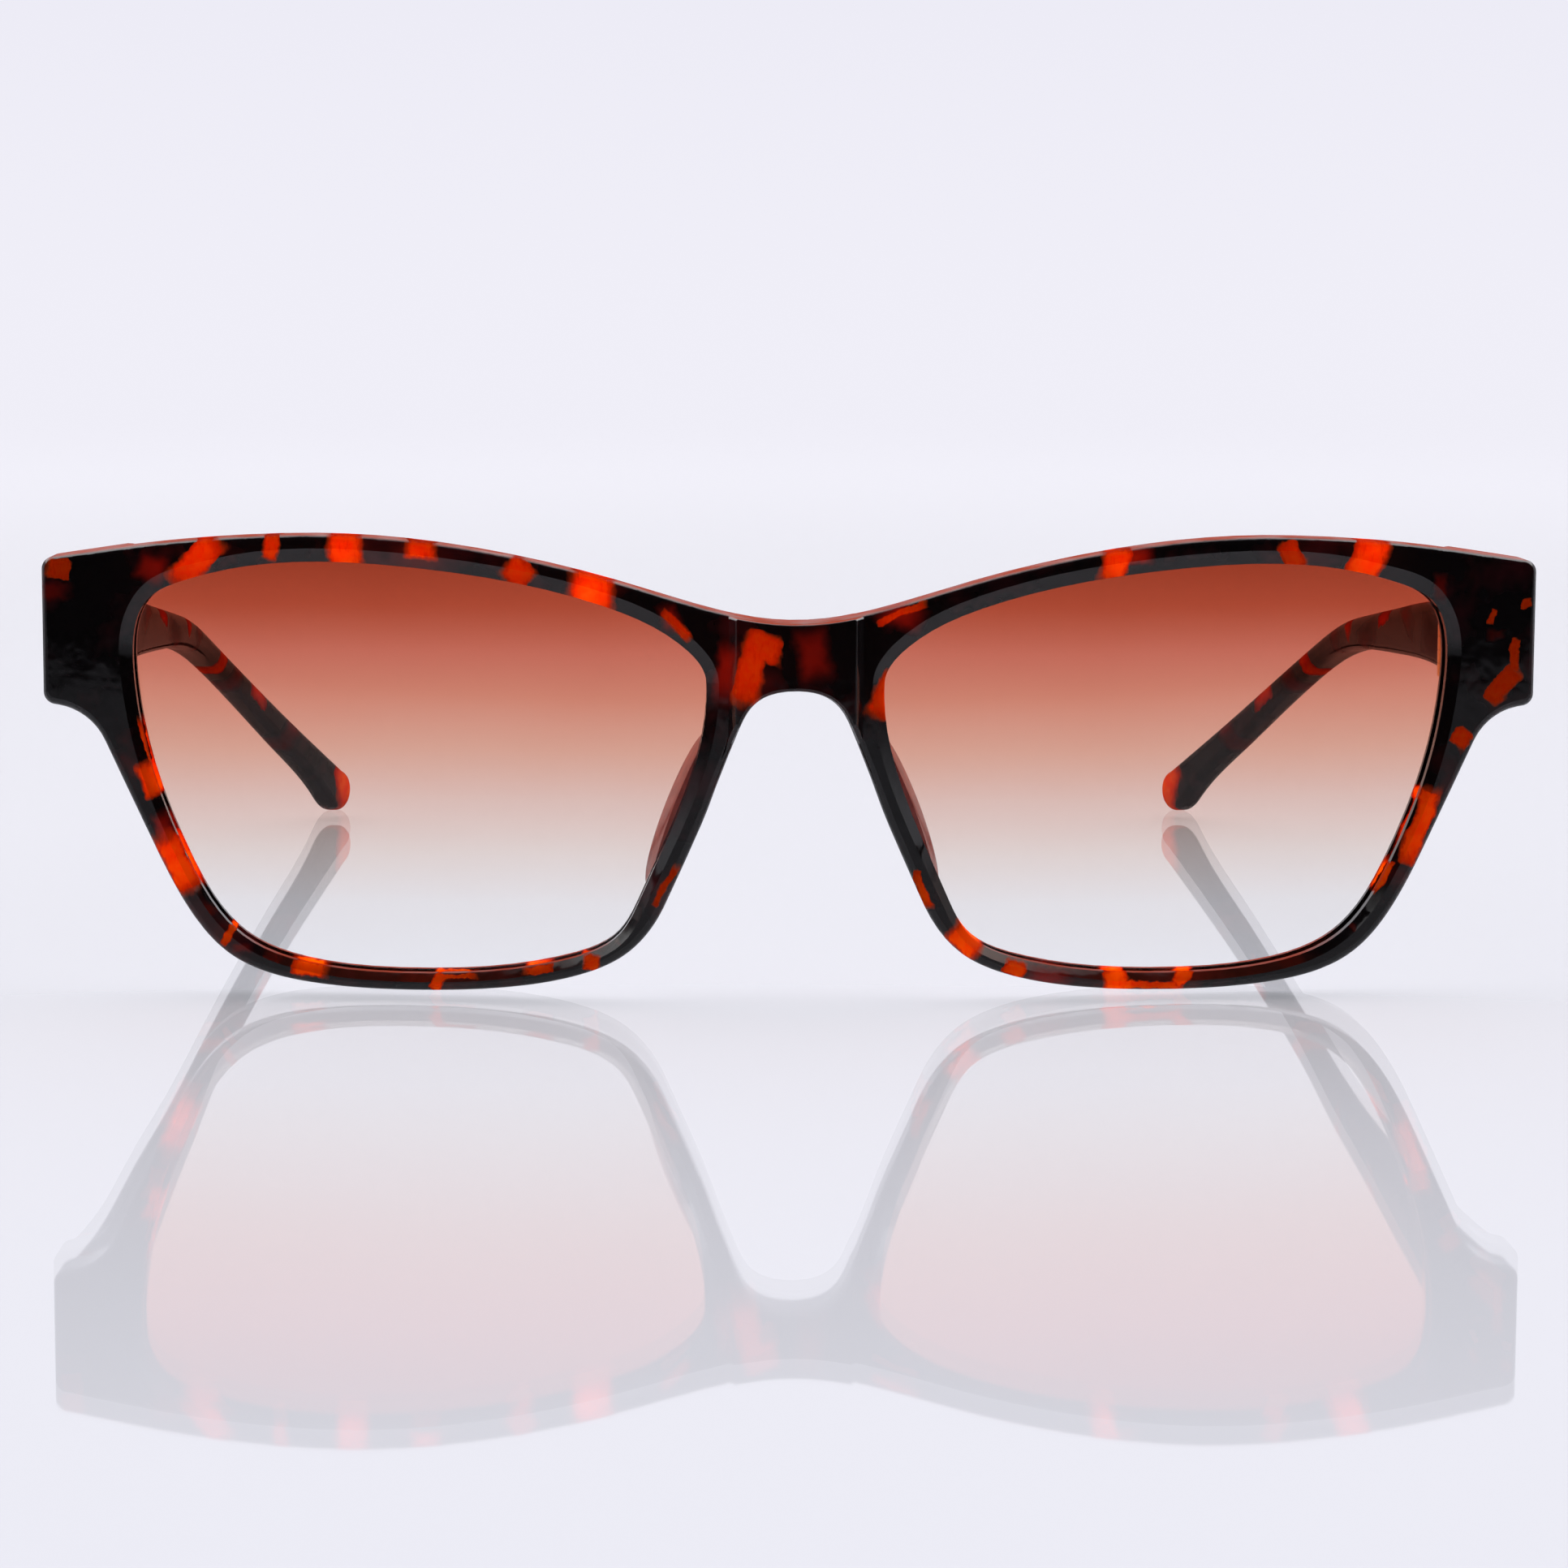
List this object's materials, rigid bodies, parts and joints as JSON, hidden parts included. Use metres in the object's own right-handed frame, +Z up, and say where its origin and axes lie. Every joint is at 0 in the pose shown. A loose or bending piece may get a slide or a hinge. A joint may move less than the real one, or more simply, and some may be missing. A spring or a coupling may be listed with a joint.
{
  "type": "sunglasses",
  "caption": "Cat eye sunglasses in tortoiseshell acetate with gradient tinted lenses, bonded nose pads, hinged temples and gold-tone temple trim.",
  "frame": {"origin": "middle of the footprint, on the surface that the rims and temple tips stand on", "axes": "+Z up, -Y the way the wearer looks, +X towards the wearer's left"},
  "size_m": [0.1438, 0.1391, 0.043],
  "materials": {
    "acetate": "polished dark tortoiseshell acetate with amber patches",
    "lens_tint": "reddish-brown tint fading to clear at the bottom",
    "pad_acetate": "translucent reddish brown",
    "hinge_metal": "gold-tone plated",
    "core_metal": "plain drawn wire",
    "trim_metal": "polished gold tone"
  },
  "bodies": {
    "front": {"front_frame": "acetate", "lens_left": "lens_tint", "lens_right": "lens_tint", "nose_pad_left": "pad_acetate", "nose_pad_right": "pad_acetate", "hinge_front_left": "hinge_metal", "hinge_front_right": "hinge_metal", "hinge_screw_left": "hinge_metal", "hinge_screw_right": "hinge_metal"},
    "temple_left": {"temple_left": "acetate", "temple_core_left": "core_metal", "hinge_temple_left": "hinge_metal", "temple_trim_left": "trim_metal", "trim_studs_left": "trim_metal"},
    "temple_right": {"temple_right": "acetate", "temple_core_right": "core_metal", "hinge_temple_right": "hinge_metal", "temple_trim_right": "trim_metal", "trim_studs_right": "trim_metal"}
  },
  "joints": [
    {"name": "temple_left_fold", "type": "hinge", "parent": "front", "child": "temple_left", "pos_m": [0.0645, -0.05325, 0.032], "axis": [0, 0, 1], "range_deg": [0, 86]},
    {"name": "temple_right_fold", "type": "hinge", "parent": "front", "child": "temple_right", "pos_m": [-0.0645, -0.05325, 0.032], "axis": [0, 0, -1], "range_deg": [0, 79]}
  ]
}
